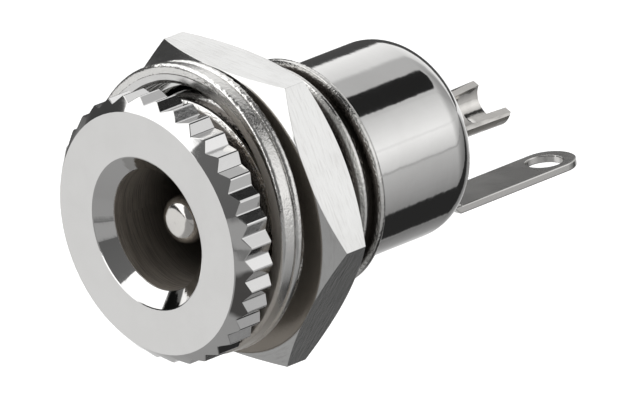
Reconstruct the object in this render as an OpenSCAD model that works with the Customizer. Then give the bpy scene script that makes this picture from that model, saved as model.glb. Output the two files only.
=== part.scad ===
// Panel-mount DC barrel jack for a round 5.5 mm plug with a 2.5 mm centre pin, all metal outside.
// The jack's axis lies along Y: the plug enters at -Y, the terminals leave at +Y, and +Z is up.
// The origin is on the axis, on the head's rear face, which seats against the front of a panel.

/* [Knurled head] */
// Diameter of the flat front face
face_d = 12.5; // [11.5:0.1:13]
// Diameter over the crests of the knurl
head_d = 13.8; // [13.4:0.05:14.6]
// Thickness of the head, from the front face to the panel seat
head_t = 2; // [1.6:0.02:3]
// Slope of the front chamfer, in degrees from the front face
head_chamfer_angle = 45; // [40:1:50]
// Radial depth of the grooves between the knurl's crests
knurl_depth = 0.36; // [0.1:0.02:0.4]
// Number of crests round the head
knurl_count = 36; // [24:1:48]
// Turn of the knurl about the axis, in degrees
knurl_turn = -2; // [-5:0.5:5]

/* [Socket] */
// Diameter of the countersink where it meets the front face
sink_d = 7.85; // [7:0.05:8.4]
// Depth of the countersink
sink_depth = 0.74; // [0.4:0.02:0.9]
// Diameter of the throat, the narrowest part of the socket
throat_d = 6.26; // [6:0.02:6.3]
// Length of the throat behind the countersink
throat_l = 0.46; // [0.2:0.02:0.7]
// Diameter of the socket behind the throat
socket_d = 6.4; // [6.35:0.05:6.6]
// Depth of the socket's floor behind the panel seat
socket_depth = 9.5; // [8.5:0.1:10]

/* [Threaded bush and barrel] */
// Outside diameter of the thread
thread_d = 11.8; // [11.4:0.05:12]
// Length of the thread behind the panel seat
thread_l = 8.7; // [8:0.05:9.5]
// Distance from one groove of the thread to the next
thread_pitch = 1; // [0.8:0.05:1.2]
// Depth of the thread's grooves, which are rings without a lead
thread_depth = 0.58; // [0.3:0.02:0.6]
// Angle between the two flanks of a groove, in degrees
thread_angle = 60; // [50:1:60]
// Length of the plain collar behind the last groove
thread_collar = 0.45; // [0.4:0.05:0.8]
// Width of the chamfer at the rear end of the thread
thread_chamfer = 0.2; // [0.1:0.05:0.5]
// Diameter of the plain barrel behind the thread
barrel_d = 10.3; // [10:0.05:10.8]
// Rear end of the barrel, measured from the panel seat
barrel_end = 16.36; // [15.4:0.02:18]
// Radius of the barrel's rounded rear edge
rear_round = 2.04; // [1.8:0.02:2.3]
// Wall of the barrel round the insulator
barrel_wall = 0.65; // [0.5:0.05:0.8]
// Diameter of the opening inside the rolled-in rear edge
rear_opening_d = 7.9; // [7.6:0.1:8.1]
// Depth of the shoulder that the insulator seats on, behind the panel seat
shoulder_depth = 4.6; // [4:0.1:6]
// Distance of the insulator's rear face inside the barrel's rear end
insulator_inset = 0.35; // [0.2:0.05:0.5]

/* [Hex nut] */
// Width across the nut's flats
nut_af = 15; // [14:0.1:16]
// Thickness of the nut
nut_t = 2.6; // [2:0.1:3]
// Angle of the chamfers on both sides of the nut, in degrees
nut_chamfer_angle = 30; // [20:1:35]
// Width of the countersink at each end of the nut's thread
nut_sink = 0.35; // [0.1:0.05:0.5]
// Space that the head and the nut leave open for a panel and the washers
panel_space = 2.68; // [2.1:0.02:3.4]
// Turn of the nut about the axis, in degrees
nut_turn = 8; // [-30:1:30]

/* [Washers] */
// Width of both washers' rings, from the hole to the rim
washer_w = 0.97; // [0.8:0.01:1.5]
// Play between the hole in the washers and the thread, on the radius
washer_play = 0.48; // [0.3:0.01:0.6]
// Thickness of the front washer
front_washer_t = 0.84; // [0.5:0.02:0.9]
// Thickness of the rear washer
rear_washer_t = 0.44; // [0.42:0.02:0.8]
// Radius of the rounded edges of the washers
washer_edge = 0.18; // [0.05:0.01:0.2]
// Direction in which the washers lean back, in degrees from straight up
washer_turn = 14; // [-45:1:45]
// Play left under the bush, where the loose washers ride up on the side that leans back
washer_rest = 0.08; // [0.06:0.01:0.3]

/* [Centre pin] */
// Diameter of the pin that enters the plug
pin_d = 2.5; // [2.4:0.02:2.52]
// Distance of the pin's tip behind the front face
pin_recess = 1.9; // [1:0.05:3]
// Radius of the rounded edge of the pin's tip
pin_tip_round = 0.7; // [0.3:0.05:1.1]
// Diameter of the collar that seats the pin in the insulator
collar_d = 4.2; // [3.8:0.1:4.6]
// Length of the collar
collar_l = 2.4; // [1.5:0.1:3]
// Outside diameter of the solder cup
cup_d = 2.44; // [2.2:0.02:2.6]
// Diameter of the hole drilled in the solder cup
cup_hole_d = 1.74; // [1.4:0.02:1.8]
// Depth of the hole drilled in the solder cup
cup_hole_depth = 4.6; // [4:0.1:5]
// Rear end of the solder cup, measured from the panel seat
cup_end = 21.7; // [21:0.1:23]
// Length of the solder cup that is cut open
cup_open_l = 2.1; // [1.6:0.1:2.4]
// Radius of the run-out at the front of the cut
cup_cut_round = 1.05; // [0.8:0.05:1.2]
// Height of the cut above the cup's axis
cup_cut_height = 0.12; // [0:0.02:0.3]
// Direction in which the solder cup opens, in degrees from straight up
cup_turn = 26; // [-90:1:90]

/* [Sleeve contact] */
// Thickness of the contact's strip
strip_t = 0.4; // [0.3:0.02:0.42]
// Width of the contact's strip and of its solder tab
strip_w = 2.8; // [2.4:0.1:3]
// Distance from the axis to the strip's upper face, inside the insulator
strip_drop = 2.95; // [2.92:0.01:3]
// Distance that the tab is set outward behind the barrel
tab_set = 1.3; // [0.9:0.05:1.5]
// Length of the slanted stretch that sets the tab outward
tab_set_l = 1.3; // [1:0.05:1.8]
// Distance of the tab's hole behind the panel seat
tab_hole_y = 24.8; // [23:0.1:27]
// Diameter of the hole in the tab
tab_hole_d = 1.9; // [1.5:0.05:2]
// Distance from the hole's centre to the centre of the tab's rounded end
tab_tip = 0.3; // [0:0.05:0.8]
// Distance of the contact's front end behind the insulator's front
contact_inset = 0.6; // [0.3:0.1:1]
// Height of the contact's bow, where it presses on the plug
bow_h = 0.4; // [0.25:0.05:0.45]
// Length of the bow
bow_l = 3.2; // [2.5:0.1:4]

/* [Fits] */
// Clearance between round parts that fit in one another, on the radius
fit = 0.05; // [0.02:0.01:0.06]
// Clearance between parts that stand face to face
gap = 0.02; // [0.01:0.01:0.04]

/* [Hidden] */
$fn = 96;

// Front face, inner end of the countersink and inner end of the throat, along the axis
front = -head_t;
sink_end = front + sink_depth;
throat_end = sink_end + throat_l;

// Bore of the barrel and centre of the rounded rear edge
bore_r = barrel_d / 2 - barrel_wall;
round_y = barrel_end - rear_round;
round_r = barrel_d / 2 - rear_round;
inner_round = rear_round - barrel_wall;

// Grooves of the thread, counted forward from the collar
groove_half = thread_depth * tan(thread_angle / 2);
groove_end = thread_l - thread_collar - groove_half;
groove_count = floor((groove_end - groove_half) / thread_pitch) + 1;

// Insulator: it fills the bore and ends just inside the opening of the rolled edge
insulator_r = bore_r - fit;
insulator_front = shoulder_depth + gap;
insulator_end = barrel_end - insulator_inset;
insulator_round = inner_round - fit;
insulator_tail_r = rear_opening_d / 2 - fit;
insulator_turn_in = acos((insulator_tail_r - round_r) / insulator_round);
channel_w = strip_w + 2 * fit;

// Washers: the pair leans until its front meets the head's lower edge and its upper rear edge the nut
washer_hole_d = thread_d + 2 * washer_play;
washer_d = washer_hole_d + 2 * washer_w;
washer_rise = washer_play - washer_rest;
washer_stack = front_washer_t + gap + rear_washer_t;
lean_across = (head_d + washer_d) / 2 + washer_rise - washer_edge;
lean_along = washer_stack - washer_edge;
lean_reach = sqrt(pow(lean_across, 2) + pow(lean_along, 2));
lean_room = panel_space - 2 * gap - washer_edge;
washer_lean = asin(lean_room / lean_reach) - atan2(lean_along, lean_across);
washer_y = gap + (head_d / 2 + washer_rise) * tan(washer_lean);

// Centre pin: its tip, and the collar that is flush with the socket's floor
pin_tip = front + pin_recess;
collar_y = socket_depth;

// Sleeve contact: places along the axis and the radius of the tab's rounded end
contact_front = insulator_front + contact_inset;
bow_y = contact_front + (socket_depth - contact_front - bow_l) / 2;
tab_set_y = barrel_end + strip_t / 4;
tab_drop = strip_drop + tab_set;
tab_end_r = strip_w / 2;
tab_end_y = tab_hole_y + tab_tip;

// Turns a shape drawn along +Z so that it points to the rear, with its +Y side down
module lay() {
    rotate([-90, 0, 0])
        children();
}

// Points of an arc about [cx, cy], from angle a0 to a1, in n steps
function arc(cx, cy, r, a0, a1, n = 12) =
    [for (i = [0:n]) let (a = a0 + (a1 - a0) * i / n) [cx + r * cos(a), cy + r * sin(a)]];

// Outline of the knurl: one crest and one groove per tooth
function knurl_outline(r, depth, n) =
    [for (i = [0:2 * n - 1]) let (q = r - (i % 2) * depth) [q * cos(180 * i / n), q * sin(180 * i / n)]];

// Ring-shaped blank with rounded edges, standing on z = 0
module rounded_ring(outer_r, inner_r, t, edge) {
    rotate_extrude()
        union() {
            translate([inner_r, edge])
                square([outer_r - inner_r, t - 2 * edge]);
            translate([inner_r + edge, 0])
                square([outer_r - inner_r - 2 * edge, t]);
            for (x = [inner_r + edge, outer_r - edge])
                for (y = [edge, t - edge])
                    translate([x, y])
                        circle(r = edge, $fn = 32);
        }
}

// Head with its chamfer and straight knurl
module head_blank() {
    intersection() {
        translate([0, 0, front])
            linear_extrude(head_t)
                rotate(knurl_turn)
                    polygon(knurl_outline(head_d / 2, knurl_depth, knurl_count));
        rotate_extrude()
            polygon([
                [0, front],
                [face_d / 2, front],
                [face_d / 2 + head_t / tan(head_chamfer_angle), 0],
                [0, 0]
            ]);
    }
}

// Bush and barrel with the rounded rear edge, solid
module bush_blank() {
    rotate_extrude()
        polygon(concat(
            [[0, -head_t / 2], [thread_d / 2, -head_t / 2]],
            [[thread_d / 2, thread_l - thread_chamfer], [thread_d / 2 - thread_chamfer, thread_l]],
            [[barrel_d / 2, thread_l]],
            arc(round_r, round_y, rear_round, 0, 90, 24),
            [[0, barrel_end]]
        ));
}

// V grooves of the thread
module thread_grooves() {
    for (i = [0:groove_count - 1])
        translate([0, 0, groove_end - i * thread_pitch])
            rotate_extrude()
                polygon([
                    [thread_d / 2 - thread_depth, 0],
                    [thread_d / 2 + thread_depth, -2 * groove_half],
                    [thread_d / 2 + thread_depth, 2 * groove_half]
                ]);
}

// Everything that the lathe removes from inside the shell
module shell_bore() {
    rotate_extrude()
        polygon([
            [0, front - 1],
            [sink_d / 2 + (sink_d - throat_d) / 2 / sink_depth, front - 1],
            [throat_d / 2, sink_end],
            [throat_d / 2, throat_end],
            [socket_d / 2, throat_end],
            [socket_d / 2, shoulder_depth + gap],
            [0, shoulder_depth + gap]
        ]);
    rotate_extrude()
        polygon(concat(
            [[0, shoulder_depth], [bore_r, shoulder_depth]],
            arc(round_r, round_y, inner_round, 0, 90, 16),
            [[0, round_y + inner_round]]
        ));
    translate([0, 0, round_y])
        cylinder(d = rear_opening_d, h = rear_round + 1);
}

module shell() {
    color([0.80, 0.80, 0.79])
        lay()
            difference() {
                union() {
                    head_blank();
                    bush_blank();
                }
                thread_grooves();
                shell_bore();
            }
}

// Places the washers: off the axis, leaning back at the top
module lean() {
    rotate([0, -washer_turn, 0])
        translate([0, washer_y, washer_rise])
            rotate([-washer_lean, 0, 0])
                lay()
                    children();
}

module front_washer() {
    color([0.82, 0.82, 0.80])
        lean()
            rounded_ring(washer_d / 2, washer_hole_d / 2, front_washer_t, washer_edge);
}

module rear_washer() {
    color([0.74, 0.74, 0.72])
        lean()
            translate([0, 0, front_washer_t + gap])
                rounded_ring(washer_d / 2, washer_hole_d / 2, rear_washer_t, washer_edge);
}

// Hexagon chamfered on both sides, so each flat ends in two arcs
module hex_nut() {
    corner_r = nut_af / sqrt(3);
    drop = (corner_r - nut_af / 2) * tan(nut_chamfer_angle);
    bore = thread_d / 2 + fit;
    color([0.86, 0.86, 0.84])
        lay()
            translate([0, 0, panel_space])
                difference() {
                    intersection() {
                        rotate(nut_turn)
                            cylinder(r = corner_r, h = nut_t, $fn = 6);
                        rotate_extrude()
                            polygon([
                                [0, 0],
                                [nut_af / 2, 0],
                                [corner_r, drop],
                                [corner_r + 1, drop],
                                [corner_r + 1, nut_t - drop],
                                [corner_r, nut_t - drop],
                                [nut_af / 2, nut_t],
                                [0, nut_t]
                            ]);
                    }
                    rotate_extrude()
                        polygon([
                            [0, -1],
                            [bore + nut_sink + 1, -1],
                            [bore, nut_sink],
                            [bore, nut_t - nut_sink],
                            [bore + nut_sink + 1, nut_t + 1],
                            [0, nut_t + 1]
                        ]);
                }
}

// Moulding that carries the pin and the contact and forms the rear of the socket
module insulator() {
    color([0.10, 0.10, 0.10])
        lay()
            difference() {
                rotate_extrude()
                    polygon(concat(
                        [[0, insulator_front], [insulator_r, insulator_front]],
                        arc(round_r, round_y, insulator_round, 0, insulator_turn_in),
                        [[insulator_tail_r, insulator_end], [0, insulator_end]]
                    ));
                translate([0, 0, insulator_front - 1])
                    cylinder(d = socket_d, h = socket_depth - insulator_front + 1);
                pin_seat();
                contact_channel();
            }
}

// Stepped hole for the pin's collar and the stem of the solder cup
module pin_seat() {
    translate([0, 0, socket_depth - 1])
        cylinder(d = collar_d + 2 * fit, h = collar_l + gap + 1);
    translate([0, 0, socket_depth])
        cylinder(d = cup_d + 2 * fit, h = insulator_end - socket_depth + 1);
}

// Channel along the bottom of the socket and slot through the rear wall for the contact
module contact_channel() {
    translate([-channel_w / 2, 0, insulator_front - 1])
        cube([channel_w, strip_drop + strip_t + fit, socket_depth - insulator_front + 1]);
    translate([-channel_w / 2, strip_drop - fit, insulator_front])
        cube([channel_w, strip_t + 2 * fit, insulator_end]);
}

// Pin and solder cup, turned in one piece
module centre_pin() {
    pin_r = pin_d / 2;
    cup_r = cup_d / 2;
    color([0.78, 0.77, 0.74])
        lay()
            difference() {
                rotate_extrude()
                    polygon(concat(
                        [[0, cup_end], [0, pin_tip]],
                        arc(pin_r - pin_tip_round, pin_tip + pin_tip_round, pin_tip_round, -90, 0),
                        [[pin_r, collar_y], [collar_d / 2, collar_y], [collar_d / 2, collar_y + collar_l]],
                        [[cup_r, collar_y + collar_l], [cup_r, cup_end]]
                    ));
                translate([0, 0, cup_end - cup_hole_depth])
                    cylinder(d = cup_hole_d, h = cup_hole_depth + 1);
                cup_cut();
            }
}

// Cut that opens one side of the solder cup, with a round run-out at its front
module cup_cut() {
    rotate(cup_turn)
        rotate([0, -90, 0])
            translate([0, 0, -cup_d])
                linear_extrude(2 * cup_d)
                    union() {
                        translate([cup_end - cup_open_l, -cup_d])
                            square([cup_open_l + 1, cup_d - cup_cut_height]);
                        translate([cup_end - cup_open_l, -cup_cut_height - cup_cut_round])
                            circle(r = cup_cut_round);
                    }
}

// Side view of the contact's strip: upper and lower faces follow one path, from front to rear
function contact_path() = [
    [contact_front, strip_drop],
    [bow_y, strip_drop],
    [bow_y + bow_l * 2 / 5, strip_drop - bow_h],
    [bow_y + bow_l * 3 / 5, strip_drop - bow_h],
    [bow_y + bow_l, strip_drop],
    [tab_set_y, strip_drop],
    [tab_set_y + tab_set_l, tab_drop],
    [tab_end_y + tab_end_r, tab_drop]
];

// Direction of the path's stretch i, in degrees
function heading(p, i) = atan2(p[i + 1][1] - p[i][1], p[i + 1][0] - p[i][0]);

// Point of the lower face at place i of the path, mitred between its two stretches
function below(p, i, t) =
    let (
        last = len(p) - 1,
        a = heading(p, max(i - 1, 0)),
        b = heading(p, min(i, last - 1)),
        m = (a + b) / 2,
        s = t / cos((a - b) / 2)
    )
    [p[i][0] - s * sin(m), p[i][1] + s * cos(m)];

// Stamped and bent contact: spring bow, straight run through the insulator, set and solder tab
module sleeve_contact() {
    path = contact_path();
    last = len(path) - 1;
    color([0.72, 0.71, 0.68])
        lay()
            difference() {
                intersection() {
                    rotate([0, -90, 0])
                        translate([0, 0, -strip_w / 2])
                            linear_extrude(strip_w)
                                polygon(concat(path, [for (i = [last:-1:0]) below(path, i, strip_t)]));
                    translate([0, 2 * tab_drop, 0])
                        rotate([90, 0, 0])
                            linear_extrude(2 * tab_drop)
                                union() {
                                    translate([-strip_w, 0])
                                        square([2 * strip_w, tab_end_y]);
                                    translate([0, tab_end_y])
                                        circle(r = tab_end_r);
                                }
                }
                translate([0, tab_drop - 1, tab_hole_y])
                    rotate([-90, 0, 0])
                        cylinder(d = tab_hole_d, h = strip_t + 2);
            }
}

shell();
front_washer();
rear_washer();
hex_nut();
insulator();
centre_pin();
sleeve_contact();
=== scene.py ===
"""Panel-mount DC barrel jack: machined pieces, thread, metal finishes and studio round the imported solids."""
import math

import bmesh
import bpy
from mathutils import Matrix, Vector


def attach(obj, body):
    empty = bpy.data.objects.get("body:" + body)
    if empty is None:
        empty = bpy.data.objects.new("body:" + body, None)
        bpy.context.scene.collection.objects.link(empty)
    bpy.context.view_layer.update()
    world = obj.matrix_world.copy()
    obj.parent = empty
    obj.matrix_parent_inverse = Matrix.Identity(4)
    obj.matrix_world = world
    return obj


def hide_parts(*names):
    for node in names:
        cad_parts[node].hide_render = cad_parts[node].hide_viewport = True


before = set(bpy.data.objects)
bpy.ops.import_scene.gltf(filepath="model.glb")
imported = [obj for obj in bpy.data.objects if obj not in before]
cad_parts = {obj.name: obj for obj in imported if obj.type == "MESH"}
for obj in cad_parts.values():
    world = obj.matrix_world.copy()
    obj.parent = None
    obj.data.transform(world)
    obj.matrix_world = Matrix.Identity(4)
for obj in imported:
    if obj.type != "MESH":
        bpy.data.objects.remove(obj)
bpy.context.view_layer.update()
MM = 0.001
TURN = 2 * math.pi

# Sizes of the turned pieces, in millimetres, as in the solids
FACE_R, HEAD_R, VALLEY_R, HEAD_T = 6.25, 6.9, 6.62, 2.0
TEETH, FIRST_CREST = 36, math.radians(1.5)
SINK_R, SINK_DEPTH, THROAT_R, THROAT_L, SOCKET_R = 3.925, 0.74, 3.13, 0.46, 3.2
SHOULDER = 4.6
THREAD_R, THREAD_PITCH, THREAD_DEPTH, THREAD_L = 5.9, 1.0, 0.58, 8.7
BARREL_R, BARREL_END, REAR_ROUND, BARREL_WALL, REAR_OPENING_R = 5.15, 16.36, 2.04, 0.65, 3.95
NUT_FRONT, TAB_DROP = 2.68, 4.25
CUP_CUT, CUP_OPEN = 19.0, 2.7

# Share by which the solder cup is wider at its open end
CUP_FLARE = 0.16

# Degrees in a radian, and the angle, in degrees, from which an edge of a flat-sided piece stays sharp
DEGREES = 180 / math.pi
CRISP = 12.0

# Vertices nearer to each other than this, in metres, are one
MERGE = 1e-7


# ---------------------------------------------------------------- shader maths


class Value:
    """A number or vector socket that takes part in plain sums."""

    def __init__(self, sheet, socket):
        self.sheet = sheet
        self.socket = socket

    def _math(self, operation, *others):
        values = [self, *others]
        return self.sheet.node("ShaderNodeMath", {"operation": operation}, dict(enumerate(values)))

    def __add__(self, other):
        return self._math("ADD", other)

    def __mul__(self, other):
        return self._math("MULTIPLY", other)

    def __sub__(self, other):
        return self._math("SUBTRACT", other)

    def __truediv__(self, other):
        return self._math("DIVIDE", other)

    def __rsub__(self, other):
        return self.sheet.node("ShaderNodeMath", {"operation": "SUBTRACT"}, {0: other, 1: self})

    __radd__ = __add__
    __rmul__ = __mul__

    def power(self, exponent):
        return self._math("POWER", exponent)

    def at_least(self, other):
        return self._math("MAXIMUM", other)

    def step(self, low, high, to_low=0.0, to_high=1.0):
        """Smooth rise from to_low, at low, to to_high, at high."""
        return self.sheet.node(
            "ShaderNodeMapRange",
            {"interpolation_type": "SMOOTHSTEP"},
            {"Value": self, "From Min": low, "From Max": high, "To Min": to_low, "To Max": to_high},
        )


def band(value, low, high, edge):
    """1 where a value lies between low and high, with soft edges."""
    return value.step(low - edge, low + edge) * value.step(high - edge, high + edge, 1.0, 0.0)


class Sheet:
    """The node tree of one material or of the world."""

    def __init__(self, tree):
        self.tree = tree
        tree.nodes.clear()

    def node(self, kind, settings=None, inputs=None, output=0):
        made = self.tree.nodes.new(kind)
        for name, value in (settings or {}).items():
            setattr(made, name, value)
        for name, value in (inputs or {}).items():
            if isinstance(value, Value):
                self.tree.links.new(value.socket, made.inputs[name])
            elif value is not None:
                made.inputs[name].default_value = value
        return Value(self, made.outputs[output]) if made.outputs else None

    def parts(self, vector):
        """The three values of a vector."""
        split = self.node("ShaderNodeSeparateXYZ", None, {"Vector": vector}).socket.node
        return [Value(self, out) for out in split.outputs]

    def joined(self, x, y, z):
        """Vector of three values."""
        return self.node("ShaderNodeCombineXYZ", None, {"X": x, "Y": y, "Z": z})

    def blend(self, factor, a, b):
        """Colour a where factor is 0, b where it is 1."""
        return self.node(
            "ShaderNodeMix",
            {"data_type": "RGBA"},
            {"Factor": factor, 6: (*a, 1) if isinstance(a, tuple) else a, 7: (*b, 1) if isinstance(b, tuple) else b},
            output=2,
        )

    def noise(self, vector, scale, detail=2.0, roughness=0.5):
        return self.node(
            "ShaderNodeTexNoise",
            {"noise_dimensions": "3D"},
            {"Vector": vector, "Scale": scale, "Detail": detail, "Roughness": roughness},
        )

    def bump(self, height, distance, strength=1.0, normal=None):
        return self.node(
            "ShaderNodeBump", None, {"Height": height, "Distance": distance, "Strength": strength, "Normal": normal}
        )


# How fine the plate's patterns are. Turning marks and streaks: waves per millimetre along the radius and the axis,
# and per radian about it. The others: waves per metre, brushing first along the marks and then across them.
TURNING, STREAKS = (16.0, 1.5), (3.2, 5.0)
CLOUDS, GRAIN, DENTS, BRUSHING = 420.0, 5200.0, 1100.0, (900.0, 9000.0)

# Least roughness that a plated face has anywhere
LEAST_ROUGH = 0.03


def round_axis(sheet):
    """Radius, place along the jack's axis and angle about it, each in millimetres, and the plain point."""
    point = sheet.node("ShaderNodeTexCoord", output=3)
    x, y, z = sheet.parts(point)
    radius = (x * x + z * z).power(0.5) / MM
    angle = sheet.node("ShaderNodeMath", {"operation": "ARCTAN2"}, {0: z, 1: x})
    return radius, y / MM, angle, point


def plated(
    name,
    colour=(0.74, 0.735, 0.725),
    shade=(0.60, 0.59, 0.575),
    roughness=0.12,
    turning=0.0008,
    streak=0.004,
    grain=0.0,
    brushed=0.0,
    scratched=0.0,
    dents=0.0,
    cloud=0.05,
    areas=None,
):
    """Nickel plate: turning marks about the axis, long streaks, cast grain, soft dents and faint clouding.

    areas gives the stretches that look different, each as its mask, colour, added roughness, speckle and
    loss of metal sheen."""
    material = bpy.data.materials.new(name)
    material.use_nodes = True
    sheet = Sheet(material.node_tree)
    radius, along, angle, point = round_axis(sheet)
    out, about = TURNING
    lines = sheet.joined(radius * out, along * out, angle * about)
    turned = sheet.noise(lines, 1.0, 3.0, 0.6)
    out, about = STREAKS
    sweep = sheet.joined(radius * out, along * out, angle * about)
    streaks = sheet.noise(sweep, 1.0, 2.0, 0.55)
    clouds = sheet.noise(point, CLOUDS, 3.0, 0.6)
    fine = sheet.noise(point, GRAIN, 2.0, 0.6)
    soft = sheet.noise(point, DENTS, 1.0, 0.4)
    x, y, z = sheet.parts(point)
    length, width = BRUSHING
    brush = sheet.noise(sheet.joined(x * length, y * width, z * length), 1.0, 2.0, 0.7)
    marks = clouds.step(0.38, 0.66)
    tone = sheet.blend(marks * cloud * 4.0 + brush.step(0.45, 0.75) * scratched, colour, shade)
    rough = (turned - 0.5) * 0.05 + marks * cloud + roughness
    height = turned * turning + streaks * streak + fine * grain + soft * dents + brush * brushed
    sheen = None
    for mask, paint, rougher, speckle, dull in areas(radius, along, angle, z / MM, clouds, turned) if areas else ():
        tone = sheet.blend(mask, tone, paint)
        if rougher:
            rough = rough + mask * rougher
        if speckle:
            height = height + mask * fine * speckle
        if dull:
            sheen = 1.0 - mask * dull
    shader = sheet.node(
        "ShaderNodeBsdfPrincipled",
        {"distribution": "MULTI_GGX"},
        {
            "Base Color": tone,
            "Metallic": sheen or 1.0,
            "Roughness": rough.at_least(LEAST_ROUGH),
            "Normal": sheet.bump(height, MM),
        },
    )
    sheet.node("ShaderNodeOutputMaterial", None, {"Surface": shader})
    return material


def moulded(name, colour=(0.022, 0.021, 0.020)):
    """Matte black moulding with a fine eroded grain."""
    material = bpy.data.materials.new(name)
    material.use_nodes = True
    sheet = Sheet(material.node_tree)
    point = sheet.node("ShaderNodeTexCoord", output=3)
    grain = sheet.noise(point, 7000.0, 3.0, 0.6)
    clouds = sheet.noise(point, 600.0, 2.0, 0.5)
    tone = sheet.blend(clouds.step(0.35, 0.7), colour, tuple(1.7 * c for c in colour))
    shader = sheet.node(
        "ShaderNodeBsdfPrincipled",
        None,
        {"Base Color": tone, "Roughness": grain * 0.15 + 0.42, "Normal": sheet.bump(grain, 0.01 * MM)},
    )
    sheet.node("ShaderNodeOutputMaterial", None, {"Surface": shader})
    return material


# ---------------------------------------------------------------- mesh helpers


def finished(mesh, name, material, smooth_angle=CRISP, crisp_before=None):
    """Turns a bmesh into an object at the origin, smooth except at its sharp edges.

    Ahead of crisp_before along the axis, in millimetres, edges count as sharp from CRISP degrees on."""
    bmesh.ops.remove_doubles(mesh, verts=mesh.verts, dist=MERGE)
    for face in mesh.faces:
        face.smooth = True
    for edge in mesh.edges:
        crisp = crisp_before is not None and edge.verts[0].co.y < crisp_before * MM
        limit = math.radians(CRISP if crisp else smooth_angle)
        edge.smooth = not (len(edge.link_faces) == 2 and edge.calc_face_angle(0) > limit)
    data = bpy.data.meshes.new(name)
    mesh.to_mesh(data)
    mesh.free()
    data.materials.append(material)
    piece = bpy.data.objects.new(name, data)
    bpy.context.scene.collection.objects.link(piece)
    return piece


def spun(mesh, outline, steps):
    """Spins a closed outline of (radius, along) points, in millimetres, about the jack's axis."""
    ring = [mesh.verts.new((r * MM, y * MM, 0)) for r, y in outline]
    edges = [mesh.edges.new((a, b)) for a, b in zip(ring, ring[1:] + ring[:1])]
    bmesh.ops.spin(
        mesh, geom=ring + edges, cent=(0, 0, 0), axis=(0, 1, 0), angle=TURN, steps=steps, use_merge=True
    )


def arc(cx, cy, r, a0, a1, steps):
    """Points of an arc, angles in degrees."""
    turns = [math.radians(a0 + (a1 - a0) * i / steps) for i in range(steps + 1)]
    return [(cx + r * math.cos(t), cy + r * math.sin(t)) for t in turns]


def outward(mesh):
    """Joins the seams of a mesh and turns all its faces outwards."""
    bmesh.ops.remove_doubles(mesh, verts=mesh.verts, dist=MERGE)
    bmesh.ops.recalc_face_normals(mesh, faces=mesh.faces)


def add(mesh, other):
    """Puts another bmesh, turned outwards, into this one and frees it."""
    outward(other)
    spare = bpy.data.meshes.new("spare")
    other.to_mesh(spare)
    other.free()
    mesh.from_mesh(spare)
    bpy.data.meshes.remove(spare)


# ---------------------------------------------------------------- shell

# Places of the vertices within one tooth, as shares of the pitch from its crest, and how far each lies down
# the flank, so that crests and valleys are narrow lands that catch the light
TOOTH = ((0.0, 0.0), (0.055, 0.04), (0.47, 0.98), (0.5, 1.0), (0.53, 0.98), (0.945, 0.04))

# Width of the head's eased edges, and the radius at which its rear face ends inside the bush's wall
SOFT, JOIN_R = 0.025, 4.0

# Rear collar of the thread: each point's distance from the corner at the thread's outside and rear end
COLLAR = ((-0.22, -0.42), (-0.03, -0.34), (0.0, -0.28), (0.0, -0.12), (-0.05, -0.03), (-0.12, 0.0))

# Where the thread's ridge starts, and how far before the thread's rear end it stops
RIDGE_START, RIDGE_STOP = 0.35, 0.9

# Front end of the bush's core, hidden in the head
CORE_FRONT = -0.9

# Steps of a full turn in the turned pieces and in the thread's ridge
TURNED_STEPS, RIDGE_STEPS = 240, 96


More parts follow.
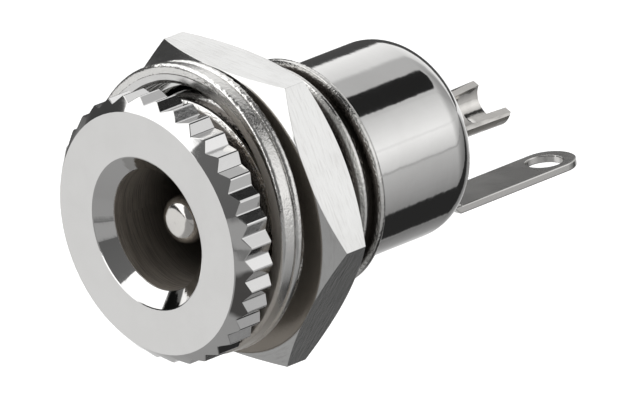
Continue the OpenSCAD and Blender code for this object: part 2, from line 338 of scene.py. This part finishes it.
def knurled_head(mesh):
    """Head ring: flat face, chamfer that the teeth run out in, straight V teeth and rear face."""
    count = len(TOOTH) * TEETH
    made = bmesh.ops.create_circle(mesh, segments=count, radius=FACE_R * MM)
    lay = Matrix.Rotation(math.radians(90), 4, "X")
    bmesh.ops.transform(mesh, matrix=lay, verts=made["verts"])
    ring = sorted(made["verts"], key=lambda v: math.atan2(v.co.z, v.co.x) % TURN)
    place = {}
    for i, v in enumerate(ring):
        tooth, part = divmod(i, len(TOOTH))
        share, down = TOOTH[part]
        angle = FIRST_CREST + (tooth + share) * TURN / TEETH
        place[v] = (angle, down)
        v.co = Vector((math.cos(angle) * FACE_R, -HEAD_T, math.sin(angle) * FACE_R)) * MM
    loop = [e for e in mesh.edges if e.verts[0] in place]
    by_angle = sorted(place.values())

    def grown(edges, crest_r, valley_r, crest_y, valley_y):
        """Next ring out: crests, flanks and valleys each at their own radius."""
        out = bmesh.ops.extrude_edge_only(mesh, edges=edges)["geom"]
        for v in (g for g in out if isinstance(g, bmesh.types.BMVert)):
            around = (math.atan2(v.co.z, v.co.x) - FIRST_CREST) % TURN
            angle, down = min(by_angle, key=lambda p: abs((p[0] - FIRST_CREST - around + math.pi) % TURN - math.pi))
            away = crest_r + (valley_r - crest_r) * down
            along = crest_y + (valley_y - crest_y) * down
            v.co = Vector((math.cos(angle) * away, along, math.sin(angle) * away)) * MM
        return [g for g in out if isinstance(g, bmesh.types.BMEdge)]

    slope = HEAD_R - FACE_R
    valley = VALLEY_R - FACE_R
    loop = grown(loop, FACE_R + SOFT, FACE_R + SOFT, -HEAD_T + SOFT * 0.7, -HEAD_T + SOFT * 0.7)
    loop = grown(loop, HEAD_R - SOFT, VALLEY_R - SOFT, -HEAD_T + slope - SOFT, -HEAD_T + valley - SOFT)
    loop = grown(loop, HEAD_R, VALLEY_R, -HEAD_T + slope + SOFT, -HEAD_T + valley + SOFT)
    loop = grown(loop, HEAD_R, VALLEY_R, -SOFT, -SOFT)
    loop = grown(loop, HEAD_R - SOFT, VALLEY_R - SOFT, 0, 0)
    loop = grown(loop, JOIN_R, JOIN_R, 0, 0)
    sink_y = -HEAD_T + SINK_DEPTH
    inner = [
        (JOIN_R, sink_y + THROAT_L),
        (THROAT_R, sink_y + THROAT_L),
        (THROAT_R, sink_y + 0.03),
        (THROAT_R + 0.03, sink_y - 0.03),
        (SINK_R - 0.03, -HEAD_T + 0.035),
        (SINK_R + 0.03, -HEAD_T + 0.006),
        (SINK_R + 0.07, -HEAD_T),
        (FACE_R - 0.04, -HEAD_T),
        (FACE_R, -HEAD_T),
    ]
    for r, y in inner:
        loop = grown(loop, r, r, y, y)


def thread_ridge(mesh, first, last):
    """One helical ridge with a rounded crest, from first to last along the axis, on the bush's core."""
    sunk = 0.06
    root = THREAD_R - THREAD_DEPTH - sunk
    half = THREAD_PITCH / 2
    flank = [(root, 0.98), (root + sunk, 0.86), (THREAD_R - 0.10, 0.30), (THREAD_R - 0.02, 0.16)]
    outline = [(r, -half * share) for r, share in flank] + [(THREAD_R, 0)]
    outline += [(r, half * share) for r, share in reversed(flank)]
    turns = (last - first) / THREAD_PITCH
    steps = round(RIDGE_STEPS * turns)
    verts = [mesh.verts.new((r * MM, (first + y) * MM, 0)) for r, y in outline]
    edges = [mesh.edges.new((a, b)) for a, b in zip(verts, verts[1:] + verts[:1])]
    face = mesh.faces.new(verts)
    bmesh.ops.spin(
        mesh,
        geom=verts + edges + [face],
        cent=(0, 0, 0),
        axis=(0, 1, 0),
        dvec=(0, (last - first) * MM / steps, 0),
        angle=-TURN * turns,
        steps=steps,
        use_merge=False,
    )


def build_shell():
    """Head, threaded bush and barrel: one turned and plated piece."""
    mesh = bmesh.new()
    knurled_head(mesh)
    outward(mesh)

    core = bmesh.new()
    root = THREAD_R - THREAD_DEPTH
    round_r, round_y = BARREL_R - REAR_ROUND, BARREL_END - REAR_ROUND
    inner_round = REAR_ROUND - BARREL_WALL
    turn_out = math.degrees(math.acos((REAR_OPENING_R - round_r) / REAR_ROUND))
    turn_in = math.degrees(math.acos((REAR_OPENING_R - round_r) / inner_round))
    bore = BARREL_R - BARREL_WALL
    throat_end = -HEAD_T + SINK_DEPTH + THROAT_L
    outline = [(SOCKET_R, throat_end + 0.01), (root, CORE_FRONT), (root, THREAD_L - 0.45)]
    outline += [(THREAD_R + r, THREAD_L + y) for r, y in COLLAR]
    outline += [(BARREL_R + 0.05, THREAD_L), (BARREL_R, THREAD_L + 0.05)]
    outline += arc(round_r, round_y, REAR_ROUND, 0, turn_out, 20)
    outline += arc(round_r, round_y, inner_round, turn_in, 0, 10)
    outline += [(bore, SHOULDER), (SOCKET_R, SHOULDER)]
    spun(core, outline, TURNED_STEPS)
    add(mesh, core)

    ridge = bmesh.new()
    thread_ridge(ridge, RIDGE_START, THREAD_L - RIDGE_STOP)
    add(mesh, ridge)
    return mesh


# ---------------------------------------------------------------- machined copies of the other solids


def eased_copy(node, width, min_angle=24.0, segments=2):
    """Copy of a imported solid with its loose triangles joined, flats made whole and sharp edges eased."""
    mesh = bmesh.new()
    mesh.from_mesh(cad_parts[node].data)
    bmesh.ops.remove_doubles(mesh, verts=mesh.verts, dist=2 * MERGE)
    bmesh.ops.dissolve_limit(
        mesh, angle_limit=math.radians(0.3), verts=mesh.verts, edges=mesh.edges, use_dissolve_boundaries=False
    )
    limit = math.radians(min_angle)
    sharp = [e for e in mesh.edges if len(e.link_faces) == 2 and e.calc_face_angle(0) > limit]
    bmesh.ops.bevel(
        mesh,
        geom=sharp,
        offset=width * MM,
        offset_type="OFFSET",
        affect="EDGES",
        segments=segments,
        profile=0.5,
        material=-1,
        clamp_overlap=True,
    )
    return mesh


def flare(mesh):
    """Spreads the open end of the solder cup a little, more towards its rear end."""
    for v in mesh.verts:
        late = max(v.co.y / MM - CUP_CUT, 0.0)
        grow = 1 + CUP_FLARE * (late / CUP_OPEN) ** 2
        v.co.x *= grow
        v.co.z *= grow


# ---------------------------------------------------------------- finishes of the pieces, with painted shade and painted reflections


def shell_finish_with_painted_shade_and_reflections(radius, along, angle, up, clouds, turned):
    """Dull bore scored by turning and painted darker further in as shade, two dark patches on the cones of the face
    that are painted reflections, speckled thread with painted shade in its grooves, satin teeth and painted shade on
    the rear face of the head, on the +X side only."""
    turn = angle * DEGREES + (clouds - 0.5) * 14.0
    bore = radius.step(SOCKET_R + 0.06, SOCKET_R + 0.1, 1.0, 0.0) * along.step(-1.3, -1.22)
    # Painted reflection: a near-black patch painted on one side of the countersink
    sink_painted_reflection = band(radius, 3.1, SINK_R, 0.04) * band(turn, -81, -62, 1.5)
    behind = along - radius + (HEAD_T + FACE_R)
    # Painted reflection: a dark grey patch painted on one side of the face's outer chamfer
    cone_painted_reflection = radius.step(6.28, 6.32) * behind.step(0.02, 0.05, 1.0, 0.0) * band(turn, -32, -9, 2)
    thread = band(along, 0.3, THREAD_L, 0.05) * radius.step(BARREL_R + 0.05, BARREL_R + 0.1)
    # Painted shade: the thread's grooves are painted dark all the way round
    groove_painted_shade = band(along, 0.3, THREAD_L - 0.4, 0.05) * band(radius, BARREL_R, THREAD_R - 0.2, 0.06)
    teeth = radius.step(VALLEY_R - 0.07, VALLEY_R - 0.03) * behind.step(0.02, 0.05) * along.step(-0.04, 0.0, 1.0, 0.0)
    # Painted shade: the bore is painted darker the further in it goes
    bore_painted_depth_shade = bore * along.step(-0.6, 3.2)
    scored = bore * turned.step(0.42, 0.66)
    # Painted shade: the head's rear face is painted brownish on the +X side only, in the recess behind the head
    back_face_painted_shade = band(along, -0.02, 0.06, 0.02) * band(turn, -70, 60, 8)
    return (
        (sink_painted_reflection, (0.05, 0.05, 0.048), 0.0, 0.0, 0.0),
        (cone_painted_reflection, (0.16, 0.155, 0.15), 0.0, 0.0, 0.0),
        (thread, (0.76, 0.75, 0.73), 0.03, 0.03, 0.0),
        (groove_painted_shade, (0.13, 0.12, 0.11), 0.08, 0.0, 0.0),
        (teeth, (0.74, 0.735, 0.73), 0.04, 0.0015, 0.0),
        (back_face_painted_shade, (0.50, 0.455, 0.41), 0.1, 0.0, 0.0),
        (bore, (0.44, 0.395, 0.345), 0.34, 0.0, 0.6),
        (scored * 0.55, (0.10, 0.088, 0.075), 0.0, 0.0, 0.0),
        (bore_painted_depth_shade * 0.9, (0.05, 0.043, 0.036), 0.0, 0.0, 0.0),
    )


def nut_painted_shade(radius, along, angle, up, clouds, turned):
    """Front face of the nut, painted dark brown as shade on the +X side, where it stands close behind the washers."""
    turn = angle * DEGREES + (clouds - 0.5) * 30.0
    # Painted shade: dark brown on the nut's front face, on the +X side only
    face = along.step(NUT_FRONT + 0.02, NUT_FRONT + 0.06, 1.0, 0.0) * band(turn, -100, 62, 6)
    return ((face, (0.24, 0.215, 0.185), 0.18, 0.01, 0.3),)


def washer_painted_shade_and_rims(radius, along, angle, up, clouds, turned):
    """Faces of the washers, painted brownish as shade on the sheltered +X side; the rims stay bright and speckled."""
    turn = angle * DEGREES + (clouds - 0.5) * 40.0
    # Painted shade: brownish paint on the washers' faces, on the +X side only, where they shelter each other
    painted_shade_side = band(turn, -75, 66, 14)
    face = radius.step(7.05, 7.15, 1.0, 0.0) * painted_shade_side
    rim = radius.step(7.2, 7.26)
    return (
        (face, (0.58, 0.54, 0.49), 0.12, 0.008, 0.4),
        (rim, (0.80, 0.79, 0.77), 0.0, 0.03, 0.0),
    )


def tab_painted_shade(radius, along, angle, up, clouds, turned):
    """Upper face of the solder tab, painted darker than its edges as shade, and a little rougher."""
    # Painted shade: only the tab's upward face is painted dark grey
    face = band(up, -TAB_DROP - 0.012, -TAB_DROP + 0.05, 0.006) * along.step(17.0, 17.4)
    return ((face, (0.30, 0.295, 0.285), 0.04, 0.0, 0.0),)


NICKEL = plated("polished nickel", roughness=0.06, cloud=0.03, dents=0.006, areas=shell_finish_with_painted_shade_and_reflections)
NUT_NICKEL = plated(
    "brushed nickel",
    colour=(0.78, 0.78, 0.77),
    roughness=0.13,
    turning=0.0,
    streak=0.0,
    brushed=0.004,
    scratched=0.4,
    areas=nut_painted_shade,
)
WASHER_NICKEL = plated("tumbled nickel", roughness=0.18, turning=0.0012, streak=0.002, areas=washer_painted_shade_and_rims)
PIN_NICKEL = plated("satin nickel", colour=(0.76, 0.74, 0.71), roughness=0.13, turning=0.001, dents=0.05)
STRIP_NICKEL = plated(
    "plated strip",
    colour=(0.70, 0.69, 0.67),
    roughness=0.16,
    turning=0.0,
    streak=0.0,
    grain=0.003,
    areas=tab_painted_shade,
)
MOULDING = moulded("black moulding")

# ---------------------------------------------------------------- pieces

shell = finished(build_shell(), "turned_shell", NICKEL, smooth_angle=32, crisp_before=0.01)
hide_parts("shell")
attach(shell, "root")

for node, name, material, slot, width in (
    ("hex_nut", "chamfered_nut", NUT_NICKEL, "nut", 0.04),
    ("centre_pin", "pin_and_cup", PIN_NICKEL, "centre_pin", 0.03),
    ("sleeve_contact", "solder_tab", STRIP_NICKEL, "sleeve_contact", 0.06),
):
    mesh = eased_copy(node, width)
    if node == "centre_pin":
        flare(mesh)
    piece = finished(mesh, name, material)
    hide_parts(node)
    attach(piece, "root")

for node, material in (("front_washer", WASHER_NICKEL), ("rear_washer", WASHER_NICKEL), ("insulator", MOULDING)):
    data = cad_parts[node].data
    data.materials.clear()
    data.materials.append(material)

# ---------------------------------------------------------------- studio

# Degrees by which the panels' edges wander
WANDER = 5.0

# Dark flag above the barrel: its middle and half width in degrees, the height at which its round end starts,
# how far that end reaches, and its level
FLAG_MIDDLE, FLAG_HALF, FLAG_START, FLAG_END, FLAG_LEVEL = 71.5, 14.5, 0.634, 0.13, 0.021

# Level of the panel that the flat face mirrors
AHEAD_LEVEL = 0.84

# Radius of the floor and its place under the axis, in metres
FLOOR_R, FLOOR_DROP = 3.0, 0.04

world = bpy.data.worlds.new("studio")
bpy.context.scene.world = world
world.use_nodes = True
sky = Sheet(world.node_tree)
toward = sky.node("ShaderNodeTexCoord", output=0)
dx, dy, dz = sky.parts(toward)
ragged = (sky.noise(toward, 22.0, 3.0, 0.6) - 0.5) * WANDER
around = sky.node("ShaderNodeMath", {"operation": "ARCTAN2"}, {0: dz, 1: dx}) * DEGREES + ragged


def panels(base, listed):
    """Light about the jack's axis: a base level, then each panel as its first and last angle, the level at
    each of them and the softness of its edges."""
    level = base
    for low, high, at_low, at_high, edge in listed:
        inside = band(around, low, high, edge)
        strength = at_low
        if at_low != at_high:
            strength = (around - low) * ((at_high - at_low) / (high - low)) + at_low
        level = inside * strength + (1.0 - inside) * level
    return level


rear = panels(
    0.55,
    [
        (-190, -165, 0.08, 0.08, 2.5),
        (-165, -148, 1.05, 0.95, 3),
        (-148, -128, 0.75, 0.36, 3),
        (-128, -101, 0.36, 0.20, 3),
        (-101, -61, 0.026, 0.026, 2),
        (-61, -12, 0.29, 0.62, 2),
        (-14.5, -11.5, 0.44, 0.44, 1),
        (-11.5, 14, 0.74, 1.14, 2),
        (14, 54, 1.14, 0.69, 3),
        (54, 87, 0.69, 0.60, 3),
        (87, 112, 0.56, 0.56, 2),
        (112, 153, 0.84, 1.14, 4),
        (153, 200, 0.075, 0.075, 2.5),
    ],
)
rear = rear * (1.0 - 0.38 * dy.step(0.65, 0.92) * band(around, -60, 100, 12))
reach = (dy - FLAG_START).at_least(0.0) / FLAG_END
spread = (around - FLAG_MIDDLE) / FLAG_HALF
flag = (spread * spread + reach * reach).step(0.86, 1.12, 1.0, 0.0)
rear = flag * FLAG_LEVEL + (1.0 - flag) * rear
front = panels(
    0.34,
    [
        (-190, -136, 0.52, 0.52, 8),
        (-136, -60, 0.38, 0.34, 10),
        (-60, -32, 0.36, 0.36, 6),
        (-32, -24, 0.20, 0.20, 3),
        (-24, 4, 0.40, 0.40, 4),
        (4, 86, 0.13, 0.16, 4),
        (86, 149, 1.6, 1.6, 2.5),
        (149, 176, 0.06, 0.06, 2.5),
    ],
)
ahead = dy.step(-0.55, -0.3, 1.0, 0.0) * band(around, -190, -136, 8)
front = ahead * AHEAD_LEVEL + (1.0 - ahead) * front
share = dy.step(-0.25, 0.45)
studio = rear * share + front * (1.0 - share)
path = sky.node("ShaderNodeLightPath")
seen = Value(sky, path.socket.node.outputs["Is Camera Ray"])
strength = seen + (1.0 - seen) * studio
light = sky.node("ShaderNodeBackground", None, {"Color": (1, 1, 1, 1), "Strength": strength})
sky.node("ShaderNodeOutputWorld", None, {"Surface": light})

mesh = bmesh.new()
bmesh.ops.create_circle(mesh, cap_ends=True, segments=64, radius=FLOOR_R)
bmesh.ops.translate(mesh, vec=(0, 0, -FLOOR_DROP), verts=mesh.verts)
floor_paint = bpy.data.materials.new("white floor")
floor_paint.use_nodes = True
sheet = Sheet(floor_paint.node_tree)
path = sheet.node("ShaderNodeLightPath")
seen = Value(sheet, path.socket.node.outputs["Is Camera Ray"])
paint = sheet.node("ShaderNodeBsdfDiffuse", None, {"Color": (0.8, 0.8, 0.8, 1)})
glow = sheet.node("ShaderNodeEmission", None, {"Strength": seen * 0.6})
both = sheet.node("ShaderNodeAddShader", None, {0: paint, 1: glow})
sheet.node("ShaderNodeOutputMaterial", None, {"Surface": both})
floor = finished(mesh, "floor", floor_paint)
floor.visible_glossy = False

# ---------------------------------------------------------------- camera: a long lens, a little above the axis

# Size of the picture at the jack, per metre, and the lens's focal length and the picture's width in the same
# unit; then how far the middle of the face lies left of and below the picture's middle
SCALE, REACH, PICTURE_W = 20.33 / MM, 18000, 640
FACE_LEFT, FACE_BELOW = 173.3, 33.8
SENSOR_W = 36

right = Vector((0.6847, 0.7217, -0.1019))
back = Vector((0.7112, -0.6310, 0.3098)).normalized()
up = back.cross(right).normalized()
right = up.cross(back).normalized()
face_centre = Vector((0, -HEAD_T * MM, 0))
aim = face_centre + right * (FACE_LEFT / SCALE) + up * (FACE_BELOW / SCALE)
distance = REACH / SCALE
lens = bpy.data.cameras.new("camera")
lens.sensor_width = SENSOR_W
lens.lens = SENSOR_W * REACH / PICTURE_W
lens.clip_start = 0.01
lens.clip_end = 20
camera = bpy.data.objects.new("camera", lens)
turned = Matrix((right, up, back)).transposed().to_4x4()
camera.matrix_world = Matrix.Translation(aim + back * distance) @ turned
bpy.context.scene.collection.objects.link(camera)
bpy.context.scene.camera = camera

bpy.context.scene.view_settings.view_transform = "Standard"
